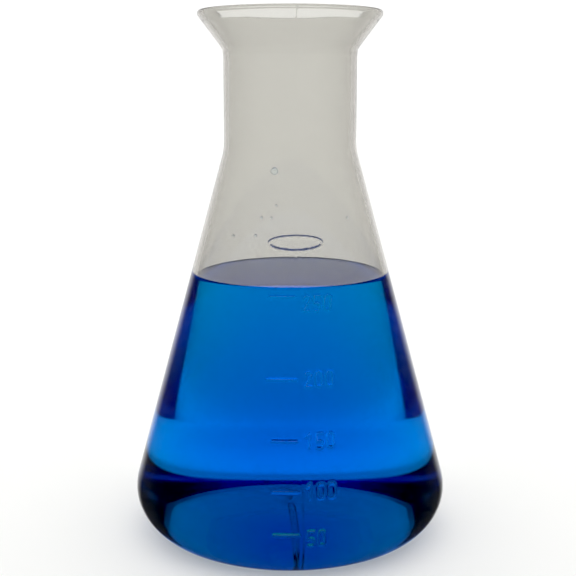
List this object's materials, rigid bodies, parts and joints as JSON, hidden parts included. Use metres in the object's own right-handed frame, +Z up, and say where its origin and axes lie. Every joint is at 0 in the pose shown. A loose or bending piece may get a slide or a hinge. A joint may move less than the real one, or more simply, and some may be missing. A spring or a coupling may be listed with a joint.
{
  "type": "erlenmeyer flask",
  "caption": "Conical lab flask in clear moulded plastic with a straight neck, flared mouth and raised graduations, holding a blue solution.",
  "frame": {"origin": "middle of the surface the flask stands on", "axes": "+Z up through the mouth along the flask's axis, graduations facing -Y, +X to the right of someone reading them"},
  "size_m": [0.085, 0.0853, 0.14],
  "materials": {
    "clear_plastic": "clear blow-moulded polymethylpentene, smooth, very slightly grey",
    "blue_solution": "clear saturated blue dye in water",
    "blue_solution_drops": "thin drops of the same solution, nearly colourless"
  },
  "bodies": {
    "root": {"flask": "clear_plastic", "solution": "blue_solution", "wall_drops": "blue_solution_drops"}
  },
  "joints": []
}
